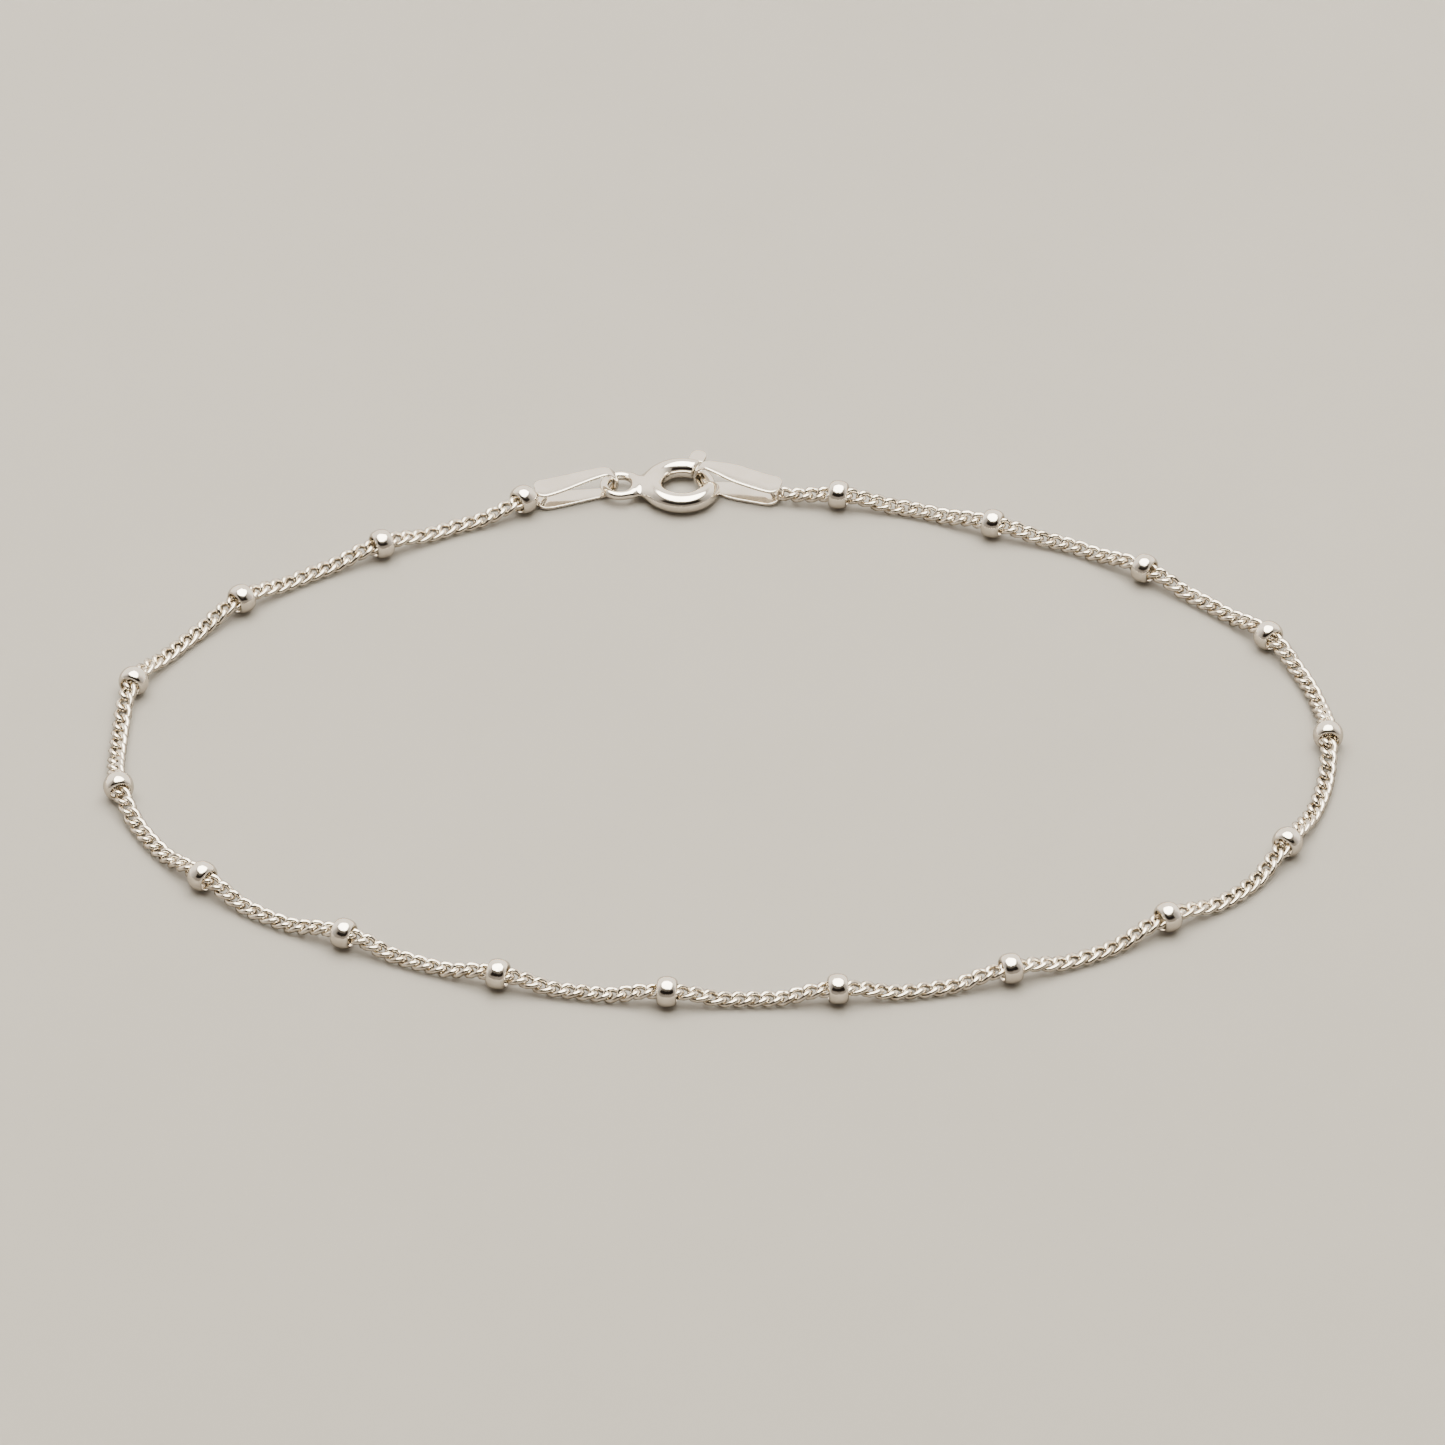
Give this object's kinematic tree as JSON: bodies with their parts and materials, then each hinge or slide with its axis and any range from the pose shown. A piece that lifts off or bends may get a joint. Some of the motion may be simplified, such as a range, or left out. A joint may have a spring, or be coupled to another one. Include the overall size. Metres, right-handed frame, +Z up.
{
  "type": "curb chain anklet",
  "caption": "Closed curb chain anklet with evenly spaced round beads, a bolt ring clasp and two folded end tags, lying as an oval loop.",
  "frame": {"origin": "centre of the bounding box in plan, on the surface that the anklet lies on", "axes": "+X along the oval's long way, to the right as the picture shows it; +Y towards the clasp at the back; +Z up"},
  "size_m": [0.0916, 0.0644, 0.0023],
  "materials": {
    "polished_silver": "highly polished sterling silver",
    "chain_silver": "polished sterling silver links"
  },
  "bodies": {
    "anklet": {"bead_01": "polished_silver", "bead_02": "polished_silver", "bead_03": "polished_silver", "bead_04": "polished_silver", "bead_05": "polished_silver", "bead_06": "polished_silver", "bead_07": "polished_silver", "bead_08": "polished_silver", "bead_09": "polished_silver", "bead_10": "polished_silver", "bead_11": "polished_silver", "bead_12": "polished_silver", "bead_13": "polished_silver", "bead_14": "polished_silver", "bead_15": "polished_silver", "bead_16": "polished_silver", "bead_17": "polished_silver", "bead_18": "polished_silver", "chain_right": "chain_silver", "chain_left": "chain_silver", "tag_right": "polished_silver", "tag_left": "polished_silver", "bolt_ring": "polished_silver"},
    "trigger": {"trigger": "polished_silver"}
  },
  "joints": [
    {"name": "trigger_slide", "type": "hinge", "parent": "anklet", "child": "trigger", "pos_m": [-0.00337, 0.028, 0.00085], "axis": [0, 0, 1], "range_deg": [0, 66], "stiffness_Nm_per_rad": 0.0005, "springref_deg": -17.19}
  ]
}
